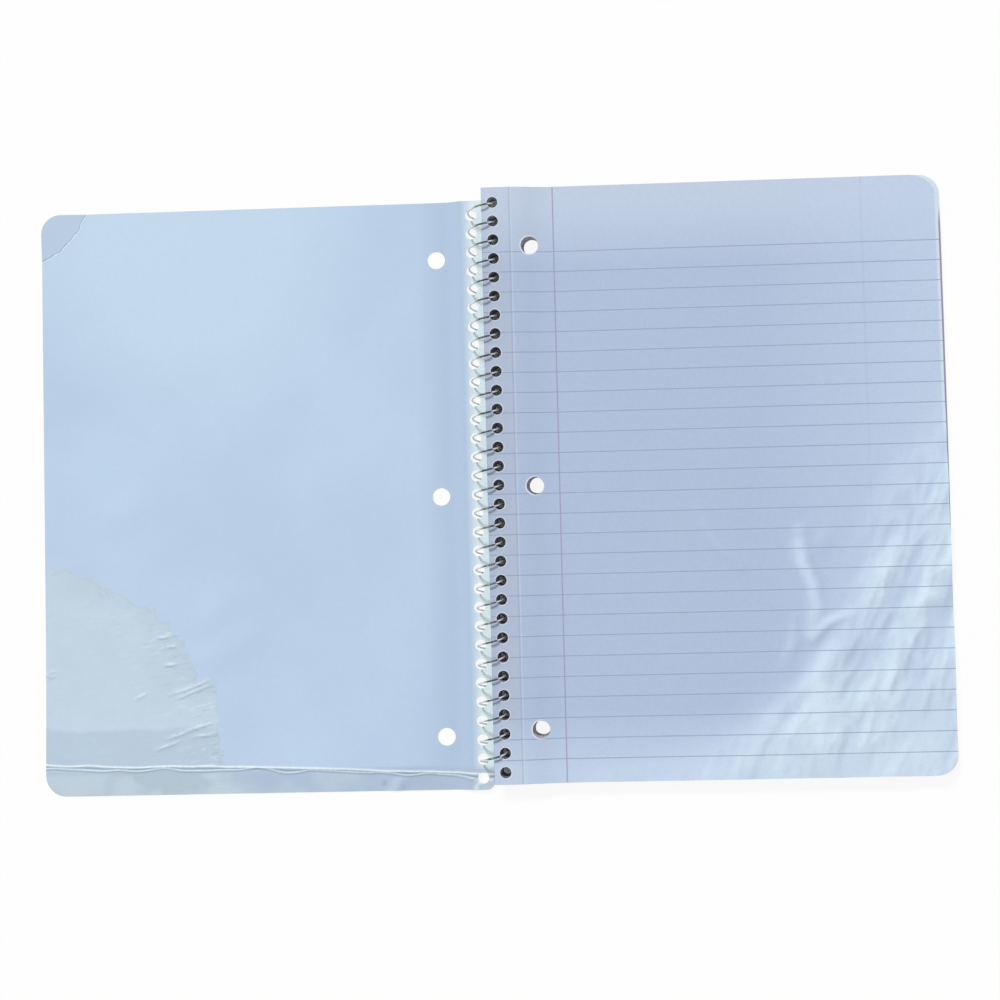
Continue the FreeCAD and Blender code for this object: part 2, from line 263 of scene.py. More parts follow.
# %% The folds of the top sheet, in millimetres
DRY_EDGE = [(30.0, -131.0), (76.0, -120.0), (106.0, -104.0), (129.0, -82.0), (141.0, -66.0), (152.0, -40.0),
            (166.0, -12.0), (186.0, 16.0), (208.0, 40.0)]
SHEET_LIFT = 0.02
SHEET_UNREST = 0.18
BROAD_FOLDS = 0.9
FINE_FOLDS = 0.45
# Each ridge is a line drawn on the page, its height and its width.
RIDGES = [
    ([(137.5, -24.0), (137.0, -30.0), (138.0, -38.0), (142.0, -48.0), (143.5, -58.0), (140.5, -69.0)],
     1.3, 3.4),
    ([(134.0, -62.0), (133.0, -72.0), (129.0, -82.0)], 0.5, 2.6),
    ([(141.5, -71.0), (147.0, -64.5), (157.5, -60.0)], 0.8, 2.2),
    ([(144.0, -33.0), (151.0, -22.0)], 0.35, 4.0),
    ([(122.0, -106.0), (140.0, -90.0), (150.0, -76.0)], 0.5, 3.6),
    ([(93.0, -14.0), (99.0, -27.0), (110.0, -39.0)], 0.5, 3.0),
    ([(180.0, -30.0), (176.0, -50.0), (168.0, -72.0)], 0.5, 3.2),
    ([(194.0, -36.0), (189.0, -58.0)], 0.45, 2.4),
    ([(182.0, -70.0), (188.0, -84.0)], 0.5, 1.9),
    ([(150.0, -96.0), (158.0, -84.0)], 0.5, 2.4),
    ([(160.0, -121.0), (166.0, -106.0)], 0.55, 2.0),
    ([(137.0, -132.0), (140.0, -118.0)], 0.5, 2.2),
    ([(196.0, -128.0), (191.0, -114.0)], 0.45, 2.4),
    ([(126.0, -124.0), (131.0, -110.0), (141.0, -98.0)], 0.4, 2.4),
    ([(172.0, -96.0), (177.0, -84.0)], 0.4, 2.0),
]


def dampness(x, y):
    """0 on the dry part of the page, 1 well inside the wrinkled part."""
    away, _, side = beside_line(x, y, DRY_EDGE)
    return ramp(-side * away, -6.0, 22.0)


def page_swell(x, y):
    """The slow waves that the upper sheets share."""
    from_spine = ramp(x - PAGES_X, 18.0, 70.0)
    waves = 0.5 + 0.5 * unevenness(x, y, 55.0, 120.0, 58.0, 3.1)
    return from_spine * (0.15 + 0.75 * dampness(x, y)) * waves


def page_wrinkles(x, y):
    """What only the top sheet has, above those waves."""
    damp = dampness(x, y)
    unrest = 0.5 + 0.5 * unevenness(x, y, 24.0, 60.0, 70.0, 8.3)
    height = SHEET_LIFT + SHEET_UNREST * ramp(x - PAGES_X, 14.0, 60.0) * unrest
    if damp > 0:
        broad = 0.5 + unevenness(x, y, 11.0, 34.0, 62.0, 5.7)
        fine = 1 - abs(2 * unevenness(x, y, 5.0, 17.0, 72.0, 1.9))
        height += damp * (BROAD_FOLDS * broad + FINE_FOLDS * fine * (0.4 + 0.6 * ramp(x, 135.0, 175.0)))
    for line, tall, wide in RIDGES:
        away, along, _ = beside_line(x, y, line)
        if away < 3 * wide:
            taper = math.sin(math.pi * min(max(along, 0.06), 0.94)) ** 0.5
            height += tall * math.exp(-(away / wide) ** 2) * taper
    return height


def settled(x, y):
    """Share of a wrinkle's height that is left where the folded foot of the closed cover presses on it."""
    return 1 - 0.7 * ramp(-y, 80.0, 112.0) * ramp(x, 70.0, 180.0)


def turned_up(x, y):
    """Slope of the wrinkles, positive on the sides that face the lamp at the head and the spine. The paper's
    material paints highlight and shade from it.
    """
    dx, dy = -0.5, 0.8
    return (page_wrinkles(x - dx, y - dy) - page_wrinkles(x + dx, y + dy)) / (2 * math.hypot(dx, dy))


# %% [markdown]
# ## The stack of sheets
# The lower sheets are seen at their edges only, so one coarse leaf is cut and an Array lays copies
# under it, each a little further out, because the open stack has slid over. Real sheets never lie
# quite true, so every leaf is then moved by a hair. The first few reach out past the top sheet at
# the outer edge.

# %% Cut one leaf and lay the stack
LEAVES = 36
LEAF_STEP = (BLOCK_THICKNESS - PAPER) / LEAVES
LEAF_THICKNESS = LEAF_STEP * 0.84

square_spine = [(1, 1, CORNER_RADIUS), (1, -1, CORNER_RADIUS)]
page_stack = cut_sheet("page_stack", PAGES_X, 1, PAGES_Y, LEAF_THICKNESS, (26, 11), square_spine, 12)
finish_with(page_stack, "ARRAY", count=LEAVES, use_relative_offset=False, use_constant_offset=True,
            constant_offset_displace=(SHEET_LEAN / LEAVES * MM, 0, -LEAF_STEP * MM))

# %% Bend the stack and let every leaf lie a little differently
draw = random.Random(7)
leaf_places = [(draw.uniform(-0.14, 0.02), draw.uniform(-0.12, 0.12)) for leaf in range(LEAVES)]
# How far each of the first leaves reaches out past the top sheet.
peeking = [0.35, 0.95, 0.75, 0.9, 0.6, 0.4]
for vertex in page_stack.data.vertices:
    x, y, z = (value / MM for value in vertex.co)
    leaf = min(int(-z / LEAF_STEP + 0.02), LEAVES - 1)
    depth = (leaf + 0.5) / LEAVES
    inward = x - PAGES_X - SHEET_LEAN * leaf / LEAVES
    shift_x, shift_y = leaf_places[leaf]
    if leaf < len(peeking):
        shift_x += peeking[leaf] * ramp(inward, 60.0, 200.0) * ramp(y, -110.0, 60.0)
    lift = settled(x, y) * page_swell(x, y) * (1 - depth) ** 2
    height = PAGES_TOP - PAPER + z - sheet_fall(inward) + lift
    vertex.co = ((x + shift_x) * MM, (y + shift_y) * MM, height * MM)
print("page_stack:", LEAVES, "leaves,", round(LEAF_THICKNESS, 3), "mm each,",
      len(page_stack.data.polygons), "faces")

# %% [markdown]
# ## The top sheet
# It is one real sheet of paper over the stack, with points close enough together for the folds.
# Its head corner has lost a little, so that the next sheet shows there. A punch leaves a raised lip
# round each hole of a sheet, and the coil has worn these further.

# %% Cut, bend and wrinkle the top sheet
SHEET_SQUARES = (132, 172)
WORN_RADIUS = 12.5
LIP_HEIGHT = 0.05
LIP_WIDTH = 0.9
FIRST_HOLE_Y = PAGES_Y + SHEET_HEIGHT / 2 - ROW_TO_HEAD

worn_corner = [(1, 1, WORN_RADIUS), (1, -1, CORNER_RADIUS)]
top_sheet = cut_sheet("top_sheet", PAGES_X, 1, PAGES_Y, PAPER, SHEET_SQUARES, worn_corner, 24)


def lip(x, y, hole_x, first_y):
    """Height of the raised lip round the nearest coil hole."""
    number = min(max(round((first_y - y) / HOLE_PITCH), 0), HOLE_COUNT - 1)
    away = math.hypot(x - hole_x, y - first_y + HOLE_PITCH * number)
    return LIP_HEIGHT * (1 - ramp(away, HOLE_RADIUS, HOLE_RADIUS + LIP_WIDTH))


for vertex in top_sheet.data.vertices:
    x, y, z = (value / MM for value in vertex.co)
    lift = settled(x, y) * (page_swell(x, y) + page_wrinkles(x, y))
    lift += lip(x, y, PAGES_X + HOLE_INSET, FIRST_HOLE_Y)
    vertex.co.z = (PAGES_TOP + z - sheet_fall(x - PAGES_X) + lift) * MM
print("top_sheet stands", round(max(v.co.z for v in top_sheet.data.vertices) / MM, 2), "mm high")

# %% [markdown]
# ## The front cover, laid back
# It is one card, level where it hangs on the coil and lying on the table beyond that. Someone has
# folded its foot over and flattened it again, so the card rises to a creased ridge and drops to its
# edge. The crack of such a fold is a pair of fine ridges with a groove between them. The rows of
# points are packed closer there, so that the crease is a real one.

# %% The creases of the front cover, as lines drawn on it
FOLD_LINE = [(-206.0, -121.2), (-198.2, -121.8), (-184.4, -122.0), (-166.1, -123.0), (-147.8, -122.9),
             (-129.6, -123.1), (-111.4, -123.8), (-75.2, -125.2), (-43.6, -126.7), (-6.7, -128.6),
             (0.0, -128.9)]
DOG_EAR = [(-182.5, 131.5), (-187.7, 122.6), (-191.9, 117.6), (-195.7, 114.4), (-204.5, 108.6)]
FOOT_NICK = [(-49.6, -127.8), (-50.4, -131.6)]
FOOT_BULGE = [(-45.5, -136.0), (-43.6, -131.5)]
HOLE_CRACK = [(-7.4, -131.6), (-10.6, -135.8)]
STAIN_EDGE = [(-206.0, -32.9), (-201.6, -33.2), (-185.5, -34.5), (-175.0, -42.4), (-162.6, -48.2),
              (-153.5, -53.4), (-145.8, -61.2), (-140.9, -70.4), (-135.5, -78.6), (-126.6, -88.7),
              (-124.9, -98.6), (-123.7, -109.0), (-122.9, -121.0), (-122.5, -140.0)]
# The puckers in the stain have a height, and the soft dents of the card a height and a width.
STAIN_FOLDS = [
    ([(-163.4, -92.0), (-157.5, -89.0)], 0.22),
    ([(-148.0, -90.2), (-138.2, -87.4), (-129.0, -83.6)], 0.3),
    ([(-145.9, -92.6), (-128.0, -85.6)], 0.26),
    ([(-156.1, -65.0), (-143.4, -63.2)], 0.2),
    ([(-151.9, -69.3), (-143.5, -67.9)], 0.18),
    ([(-151.0, -77.1), (-143.6, -76.2)], 0.18),
    ([(-141.9, -107.0), (-127.2, -102.8)], 0.26),
    ([(-149.4, -110.0), (-137.7, -106.5)], 0.22),
    ([(-154.7, -115.0), (-143.0, -111.1)], 0.24),
    ([(-137.7, -109.4), (-126.2, -107.8)], 0.26),
    ([(-205.0, -79.6), (-199.8, -78.7)], 0.24),
    ([(-205.0, -81.4), (-199.9, -80.8)], 0.22),
]
SOFT_DENTS = [
    ([(-131.5, -57.6), (-121.0, -47.8)], 0.4, 7.0),
    ([(-128.0, -74.0), (-112.0, -66.0)], 0.5, 8.0),
    ([(-176.0, 70.0), (-150.0, 52.0)], 0.25, 9.0),
    ([(-70.0, 118.0), (-52.0, 96.0)], 0.25, 9.0),
    ([(-172.0, -10.0), (-160.0, -3.0)], 0.25, 7.0),
]
FRONT_THICKNESS = 0.4
FOLD_CREST_Y = -124.25
FOLD_HEIGHT = 1.5
FOLD_RUN = 70.0
FOLDED_FOOT = 11.0
FRONT_STRIP_HEIGHT = 1.95
FRONT_STRIP_SLOPE = 8.6
# Where each band of rows starts on the card, and the share of the rows that lie before it.
ROW_BANDS = [(-137.3, 0.0), (-130.2, 0.03), (-119.0, 0.24), (-84.0, 0.47), (-60.0, 0.6), (132.8, 1.0)]


def packed_rows(y):
    """Moves a row of the grid. Rows are 0.3 mm apart at the fold, 1 mm in the stain and 2.7 mm elsewhere."""
    share = (y - ROW_BANDS[0][0]) / (ROW_BANDS[-1][0] - ROW_BANDS[0][0])
    for (low, start), (high, end) in zip(ROW_BANDS, ROW_BANDS[1:]):
        if share <= end or end == 1.0:
            return low + (high - low) * (share - start) / (end - start)


# %% Cut the card
CARD_SQUARES = (120, 178)
BENT_RADIUS = 3.5

front_left = FRONT_X - SHEET_WIDTH
front_corners = [(-1, 1, CORNER_RADIUS), (-1, -1, CORNER_RADIUS), (1, -1, BENT_RADIUS)]
front_card = cut_sheet("front_card", front_left, -1, FRONT_Y, FRONT_THICKNESS, CARD_SQUARES, front_corners,
                       24, packed_rows)
FRONT_FIRST_Y = FRONT_Y + SHEET_HEIGHT / 2 - ROW_TO_HEAD
print("first coil hole of the front cover at y =", round(FRONT_FIRST_Y, 2))


# %% Heights of the card
def front_rest(x, y):
    """The underside of the plain card: a level strip on the coil, an easy slope, and the fold."""
    outward = FRONT_X - x
    strip = FRONT_STRIP_HEIGHT * (1 - ramp(outward, LEVEL_STRIP, LEVEL_STRIP + FRONT_STRIP_SLOPE))
    crest = ramp(outward, LEVEL_STRIP + FRONT_STRIP_SLOPE, LEVEL_STRIP + FRONT_STRIP_SLOPE + 25.0)
    if y >= FOLD_CREST_Y:
        near = max(0.0, 1 - (y - FOLD_CREST_Y) / FOLD_RUN)
        rise = FOLD_HEIGHT * near ** 2
    else:
        rise = FOLD_HEIGHT * max(0.0, 1 - (FOLD_CREST_Y - y) / FOLDED_FOOT)
    return strip + crest * rise


def peak(away, width):
    """1 on a line and 0 from this width on, on both sides of it."""
    return 1 - ramp(abs(away), 0.0, width)


def crack(x, y, line, width):
    """Strength, 0 to 1, of the broken surface along a crease."""
    return peak(beside_line(x, y, line)[0], width)


def above_fold(x, y):
    """How far a point is above the upper crack of the fold, which wanders a little."""
    away, _, side = beside_line(x, y, FOLD_LINE)
    return side * away + 0.45 * noise.noise(Vector((x / 11.0, 4.2, 0.0))) - 0.5


def strand_gap(x):
    """Width between the two cracks of the fold. They part and meet again along the card."""
    slow = noise.noise(Vector((x / 14.0, 7.7, 0.0)))
    quick = noise.noise(Vector((x / 6.0, 1.1, 0.0)))
    return 1.5 + 2.0 * slow + 0.3 * quick


def front_marks(x, y):
    """The fine shape of the handled card."""
    height = 0.05 * unevenness(x, y, 40.0, 70.0, 30.0, 2.2)
    above = above_fold(x, y)
    height += 0.3 * peak(above, 0.7) + 0.22 * peak(above + strand_gap(x), 0.6)
    away, _, side = beside_line(x, y, DOG_EAR)
    if side < 0 and x < -180 and y > 90:
        height += 0.9 * min(away / 12.0, 1.0)
    for line, tall, wide in ((FOOT_NICK, 0.5, 1.6), (FOOT_BULGE, 0.9, 3.4), (HOLE_CRACK, 0.4, 1.4)):
        height += tall * crack(x, y, line, wide)
    for line, tall in STAIN_FOLDS:
        away, along, _ = beside_line(x, y, line)
        if away < 4:
            height += 0.8 * tall * math.exp(-(away / 1.1) ** 2) * (0.2 + 3.2 * along * (1 - along))
    for line, tall, wide in SOFT_DENTS:
        away = beside_line(x, y, line)[0]
        if away < 3 * wide:
            height += tall * math.exp(-(away / wide) ** 2)
    return height


def inside_stain(x, y):
    """Millimetres inside the edge of the stain, negative outside."""
    away, _, side = beside_line(x, y, STAIN_EDGE)
    return -side * away


# %% Shape the card, and store where it is cracked, shaded and stained
FAR_OFF = 9.0


def store(piece, **marks):
    """Keeps a number for each point of a piece, for its material to read."""
    for name, values in marks.items():
        piece.data.attributes.new(name, "FLOAT", "POINT").data.foreach_set("value", values)


stain, cracked, grooved, off_dog_ear = [], [], [], []
for vertex in front_card.data.vertices:
    x, y, z = (value / MM for value in vertex.co)
    stain.append(inside_stain(x, y))
    above, gap = above_fold(x, y), strand_gap(x)
    # The cracks of the fold and by the hole show white core and painted highlight; painted shade lies
    # between and below them and in the nick.
    white_and_lit = max(peak(above, 0.6), 0.75 * peak(above + gap, 0.5), crack(x, y, HOLE_CRACK, 0.9))
    between = peak(above + max(gap, 1.1) / 2 + 0.1, 0.6)
    dark = max(between, 0.6 * peak(above + gap + 0.75, 0.5), crack(x, y, FOOT_NICK, 0.9))
    # Each pucker of the stain gets painted highlight on one side and painted shade on the other.
    for line, _ in STAIN_FOLDS:
        away, along, side = beside_line(x, y, line)
        if away < 2.2:
            taper = min(1.0, 0.1 + 4 * along * (1 - along))
            white_and_lit = max(white_and_lit, 0.6 * taper * peak(away * side - 0.2, 0.6))
            dark = max(dark, 0.5 * taper * peak(away * side + 0.8, 0.6))
    away, _, side = beside_line(x, y, DOG_EAR)
    off_dog_ear.append(away * side if x < -175 and y > 100 else FAR_OFF)
    cracked.append(white_and_lit)
    grooved.append(dark)
    on_card = ramp(FRONT_X - x, 9.0, 26.0)
    marks = on_card * front_marks(x, y) + lip(x, y, FRONT_X - HOLE_INSET, FRONT_FIRST_Y)
    vertex.co.z = (FRONT_THICKNESS + z + front_rest(x, y) + max(marks, 0.0)) * MM
store(front_card, stain=stain, cracked=cracked, grooved=grooved, off_dog_ear=off_dog_ear)
print("front_card:", len(front_card.data.polygons), "faces")

# %% [markdown]
# ## The back cover
# A heavier board under the stack, bent like the sheets above it. It is cut in the same way.

# %% Cut and bend the back cover
BACK_THICKNESS = 0.6
BOARD_SQUARES = (40, 20)
back_board = cut_sheet("back_board", BACK_X, 1, BACK_Y, BACK_THICKNESS, BOARD_SQUARES, square_spine, 20)
for vertex in back_board.data.vertices:
    x, y, z = (value / MM for value in vertex.co)
    vertex.co.z = (BACK_THICKNESS + z + BEND_FALL - sheet_fall(x - BACK_X)) * MM
print("back_board:", len(back_board.data.polygons), "faces")

# %% [markdown]
# ## The coil
# One length of steel wire goes through the holes of the sheets and the covers thirty times. Its
# points follow a helix, worked out in a loop, and each turn is given a slightly different radius and
# place, because a coil on a used notebook is never even. A curve with a round bevel makes it wire.

# %% Draw the wire as a curve and turn it into a mesh
COIL_RADIUS = 6.2
COIL_SQUASH = 0.985
WIRE_RADIUS = 0.4
WIRE_START_Y = 128.0
# Where the wire's two ends are, and the step between its points, in degrees round the coil.
HEAD_TAIL = -66
FOOT_TAIL = 29 * 360 + 270
STEP = 8
WANDER = 0.07
SHRINK = 0.06

draw = random.Random(21)
turn_shift = [draw.uniform(-WANDER, WANDER) for turn in range(HOLE_COUNT + 1)]
turn_size = [draw.uniform(-SHRINK, 0.0) for turn in range(HOLE_COUNT + 1)]
bpy.ops.object.select_all(action="DESELECT")
bpy.ops.curve.primitive_nurbs_path_add()
coil_wire = bpy.context.object
coil_wire.name = "coil_wire"
coil_wire.data.splines.clear()
angles = list(range(HEAD_TAIL, FOOT_TAIL + 1, STEP))
spline = coil_wire.data.splines.new("POLY")
spline.points.add(len(angles) - 1)
for point, angle in zip(spline.points, angles):
    turn, into = divmod(angle / 360 + 0.5, 1)
    turn, blend = int(turn), ramp(into, 0.0, 1.0)
    shift = turn_shift[turn] * (1 - blend) + turn_shift[turn + 1] * blend
    radius = COIL_RADIUS + turn_size[turn] * (1 - blend) + turn_size[turn + 1] * blend
    round_coil = math.radians(angle)
    x = AXIS_X + radius * COIL_SQUASH * math.cos(round_coil)
    y = WIRE_START_Y - HOLE_PITCH * angle / 360 + shift * math.sin(round_coil) ** 2
    z = AXIS_Z + radius * math.sin(round_coil)
    point.co = (x * MM, y * MM, z * MM, 1)
coil_wire.data.bevel_depth = WIRE_RADIUS * MM
coil_wire.data.bevel_resolution = 3
coil_wire.data.use_fill_caps = True
pick(coil_wire)
bpy.ops.object.convert(target="MESH")
coil_wire = bpy.context.object
bpy.ops.object.transform_apply(location=True, rotation=True, scale=True)
bpy.ops.object.shade_smooth()
print("coil_wire:", len(coil_wire.data.polygons), "faces")

# %% [markdown]
# ## Nodes and washes
# Every material below is built with one small function, which adds a node, sets its settings and
# fills its sockets. The colour could be mixed node by node, but a finish is easier to read as a
# painter would lay it: a ground tone, and thin washes over it. Each wash follows something, such as
# a place on the sheet, a noise or a stored mark, and comes in as that goes from one value to another.

# %% Node, colour and material helpers
def add(tree, kind, sockets=None, output=0, **settings):
    made = tree.nodes.new(kind)
    for name, value in settings.items():
        setattr(made, name, value)
    for key, value in (sockets or {}).items():
        if isinstance(value, bpy.types.NodeSocket):
            tree.links.new(value, made.inputs[key])
        else:
            made.inputs[key].default_value = value
    return made.outputs[output] if made.outputs else made


def colour(code):
    """A colour written as sRGB hex, in the linear values that nodes take."""
    parts = [int(code[n:n + 2], 16) / 255 for n in (1, 3, 5)]
    return [p / 12.92 if p <= 0.04045 else ((p + 0.055) / 1.055) ** 2.4 for p in parts] + [1.0]


def new_finish(name):
    """An empty material, with the place of a point in millimetres: whole, along x and along y."""
    material = bpy.data.materials.new(name)
    material.use_nodes = True
    tree = material.node_tree
    tree.nodes.clear()
    place = add(tree, "ShaderNodeTexCoord", output="Object")
    in_mm = add(tree, "ShaderNodeVectorMath", {0: place, "Scale": 1 / MM}, operation="SCALE")
    at_x, at_y = [add(tree, "ShaderNodeSeparateXYZ", {0: in_mm}, output=axis) for axis in "XY"]
    return material, tree, in_mm, at_x, at_y


def washed(tree, ground, washes):
    """Lays washes over a ground: (what one follows, none here, full here, its strength, its tone).

    The ground and a wash's tone are a hex colour or the output of other nodes.
    """
    tone = colour(ground) if isinstance(ground, str) else ground
    for followed, bare, full, strength, wash in washes:
        share = add(tree, "ShaderNodeMapRange", {0: followed, 1: bare, 2: full, 4: strength})
        over = colour(wash) if isinstance(wash, str) else wash
        tone = add(tree, "ShaderNodeMix", {"Factor": share, 6: tone, 7: over}, output=2, data_type="RGBA")
    return tone


def close(material, sockets):
    """Gives a material its shader, and joins that to the output."""
    tree = material.node_tree
    shader = add(tree, "ShaderNodeBsdfPrincipled", sockets)
    add(tree, "ShaderNodeOutputMaterial", {0: shader})
    print(material.name, "has", len(tree.nodes), "nodes")


def dress(piece, material, body, node):
    piece.data.materials.clear()
    piece.data.materials.append(material)
    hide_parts(node)
    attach(piece, body)


# %% [markdown]
# ## Ruled writing paper
# Uncoated writing paper, made on a wire and ruled by offset printing. It is matt, a little mottled
# where fibres have clumped, and the print sits in it without any gloss. The damp corner has dried
# paler and greener. A painted highlight makes the tops of its wrinkles paler still, and each wrinkle
# has a painted highlight on the side that faces the lamp and painted shade on the other side, which
# follow its own slope.

# %% Ruled paper: what the material reads
TEAR_X = PAGES_X + 13.2
OUTER_X = PAGES_X + SHEET_WIDTH

ruled_paper, tree, in_mm, at_x, at_y = new_finish("ruled_writing_paper")
damp, fold_height, facing_for_painted_light = [add(tree, "ShaderNodeAttribute", output="Fac", attribute_name=name)
                             for name in ("damp", "fold_height", "turned_up")]
clumps = add(tree, "ShaderNodeTexNoise", {"Vector": in_mm, "Scale": 0.8, "Detail": 4.0, "Roughness": 0.6})
cloud = add(tree, "ShaderNodeTexNoise", {"Vector": in_mm, "Scale": 0.016, "Detail": 3.0, "Roughness": 0.55})
drawn_out = add(tree, "ShaderNodeMapping", {"Vector": in_mm, "Rotation": (0, 0, math.radians(60)),
                                            "Scale": (1.8, 1.0, 1.0)}, vector_type="TEXTURE")
patch = add(tree, "ShaderNodeTexNoise", {"Vector": drawn_out, "Scale": 0.08, "Detail": 5.0,
                                         "Roughness": 0.64})
patchy = add(tree, "ShaderNodeMapRange", {0: patch, 1: 0.36, 2: 0.6, 3: 0.4, 4: 1.0})
damp_share = add(tree, "ShaderNodeMath", {0: damp, 1: patchy}, operation="MULTIPLY")
dry_share = add(tree, "ShaderNodeMapRange", {0: damp, 3: 0.65, 4: 0.0})

# %% Its tones
damp_tone = washed(tree, "#BACDE4", [
    (fold_height, 0.3, 1.4, 1.0, "#D4E8F5"),                # painted highlight on the tops of the wrinkles
    (at_y, -80.0, -125.0, 0.7, "#D0E3F0"),                  # paler at the foot
])
paper = washed(tree, "#AFBFDA", [
    (cloud, 0.35, 0.65, 1.0, "#B0BFD9"),
    (at_x, TEAR_X + 0.5, TEAR_X - 3.5, 0.55, "#AFB9CC"),    # greyer by the spine
    (at_y, 96.0, 126.0, 0.8, "#C4D1E4"),                    # bright head
    (at_x, 120.0, 198.0, 0.75, "#C0D0E7"),                  # and outer side
    (at_x, OUTER_X - 1.7, OUTER_X - 0.7, 0.6, "#DCE9F1"),   # paler along the outer edge
    (at_y, -100.0, -125.0, 0.7, "#C4D4EA"),                 # foot
    (damp_share, 0.0, 1.0, 1.0, damp_tone),
    (fold_height, 0.45, 1.3, dry_share, "#CCE0F4"),         # painted highlight on the tops of the folds on dry paper
    (facing_for_painted_light, 0.02, 0.34, 0.5, "#D6E8F8"),                   # painted highlight on the side of a wrinkle that faces the lamp
    (facing_for_painted_light, -0.02, -0.34, 0.5, "#A3ADC8"),                 # painted shade on the side turned away
])
mottle = add(tree, "ShaderNodeMapRange", {0: clumps, 1: 0.3, 2: 0.7, 3: 0.975, 4: 1.025})
paper = add(tree, "ShaderNodeVectorMath", {0: paper, "Scale": mottle}, operation="SCALE")

# %% [markdown]
# ## Print and punched holes
# The rules, the margin line and the line of small cuts for tearing off are worked out from where a
# point is on the sheet. The rules are 9 mm apart, near the spacing of wide ruled paper. The margin
# line of the other side shows through a little. The cuts are a painted highlight with painted shade
# beside them, and the rims of the punched holes are pale with a painted highlight.

# %% How far a point is from a line, from a row of marks, and from a row of holes
def off_line(line_x):
    aside = add(tree, "ShaderNodeMath", {0: at_x, 1: line_x}, operation="SUBTRACT")
    return add(tree, "ShaderNodeMath", {0: aside}, operation="ABSOLUTE")


def off_row(first_y, step):
    """Distance down the sheet from the middle of the nearest mark, which is negative above it."""
    down = add(tree, "ShaderNodeMath", {0: first_y + step / 2, 1: at_y}, operation="SUBTRACT")
    into = add(tree, "ShaderNodeMath", {0: down, 1: step}, operation="MODULO")
    return add(tree, "ShaderNodeMath", {0: into, 1: step / 2}, operation="SUBTRACT")


def off_hole(hole_x, first_y, pitch):
    away = add(tree, "ShaderNodeCombineXYZ", {0: off_line(hole_x), 1: off_row(first_y, pitch)})
    return add(tree, "ShaderNodeVectorMath", {0: away}, output="Value", operation="LENGTH")


# %% Rules, margin lines and the line of cuts
RULE_STEP = 9.045
RULE_COUNT = 26
FIRST_RULE_Y = PAGES_Y + SHEET_HEIGHT / 2 - 29.4
MIDDLE_RULE_Y = FIRST_RULE_Y - (RULE_COUNT - 1) / 2 * RULE_STEP
MARGIN_X = PAGES_X + 32.0
GHOST_X = OUTER_X - 33.9

off_rule = add(tree, "ShaderNodeMath", {0: off_row(FIRST_RULE_Y, RULE_STEP)}, operation="ABSOLUTE")
ruled = add(tree, "ShaderNodeMath", {0: at_y, 1: MIDDLE_RULE_Y, 2: FIRST_RULE_Y - MIDDLE_RULE_Y + 1},
            operation="COMPARE")
ink = add(tree, "ShaderNodeMapRange", {0: clumps, 1: 0.3, 2: 0.65, 3: 0.6, 4: 0.95})
ink = add(tree, "ShaderNodeMath", {0: ink, 1: ruled}, operation="MULTIPLY")
ghost_ink = add(tree, "ShaderNodeMapRange", {0: at_y, 1: -60.0, 2: 60.0, 3: 0.02, 4: 0.11})
cuts = add(tree, "ShaderNodeMath", {0: at_y, 1: 0.6}, operation="PINGPONG")
cut_highlight = add(tree, "ShaderNodeMapRange", {0: cuts, 1: 0.2, 2: 0.4, 3: 0.14, 4: 0.32})

# %% Rims of the holes, and the surface of the paper
BINDER_X = PAGES_X + BINDER_INSET

coil_hole = off_hole(PAGES_X + HOLE_INSET, FIRST_HOLE_Y, HOLE_PITCH)
rim_highlight_reach = add(tree, "ShaderNodeMath", {0: coil_hole, 1: clumps}, operation="ADD")
binder_hole = off_hole(BINDER_X, PAGES_Y - BINDER_DROP + BINDER_SPACING, BINDER_SPACING)
rim_highlight_strength = add(tree, "ShaderNodeMapRange", {0: at_x, 1: BINDER_X + 2.5, 2: BINDER_X - 2.5, 3: 0.1275,
                                              4: 0.85})
printed = washed(tree, paper, [
    (off_rule, 0.26, 0.14, ink, "#8C9DB8"),
    (off_line(MARGIN_X), 0.36, 0.2, 0.85, "#9E97BA"),
    (off_line(GHOST_X), 0.6, 0.3, ghost_ink, "#9C8FB4"),
    # painted highlight along the line of small cuts for tearing off
    (off_line(TEAR_X), 0.4, 0.2, cut_highlight, "#DCE4F0"),
    # painted shade beside those cuts
    (off_line(TEAR_X - 0.75), 0.5, 0.2, 0.3, "#8F97AE"),
    # painted highlight on the rims of the coil holes
    (rim_highlight_reach, HOLE_RADIUS + 1.05, HOLE_RADIUS + 0.55, 0.8, "#DCE3EC"),
    # painted highlight on the rims of the binder holes, strongest on the spine side
    (binder_hole, BINDER_RADIUS + 0.75, BINDER_RADIUS + 0.35, rim_highlight_strength, "#E2E9F1"),
])
fibre = add(tree, "ShaderNodeTexNoise", {"Vector": in_mm, "Scale": 2.2, "Detail": 5.0, "Roughness": 0.7})
bump = add(tree, "ShaderNodeBump", {"Height": fibre, "Strength": 0.12, "Distance": 0.0001})
close(ruled_paper, {"Base Color": printed, "Roughness": 0.82, "Specular IOR Level": 0.25, "Normal": bump})

# %% Store what the material reads from the top sheet
places = [(vertex.co.x / MM, vertex.co.y / MM) for vertex in top_sheet.data.vertices]
store(top_sheet, damp=[dampness(*place) for place in places],
      fold_height=[page_wrinkles(*place) for place in places],
      turned_up=[turned_up(*place) for place in places])
print("marks stored for", len(places), "points of the top sheet")

# %% [markdown]
# ## The edges of the stack
# The same paper, seen end on. Cut edges are duller than the face of a sheet and pick up dirt, so
# their tone changes a little from leaf to leaf and along the edge. Painted shade darkens the walls
# of the coil holes and painted light brightens the walls of the binder holes. The strip of a sheet
# that lies open beyond the one above it has painted shade, except near the head.

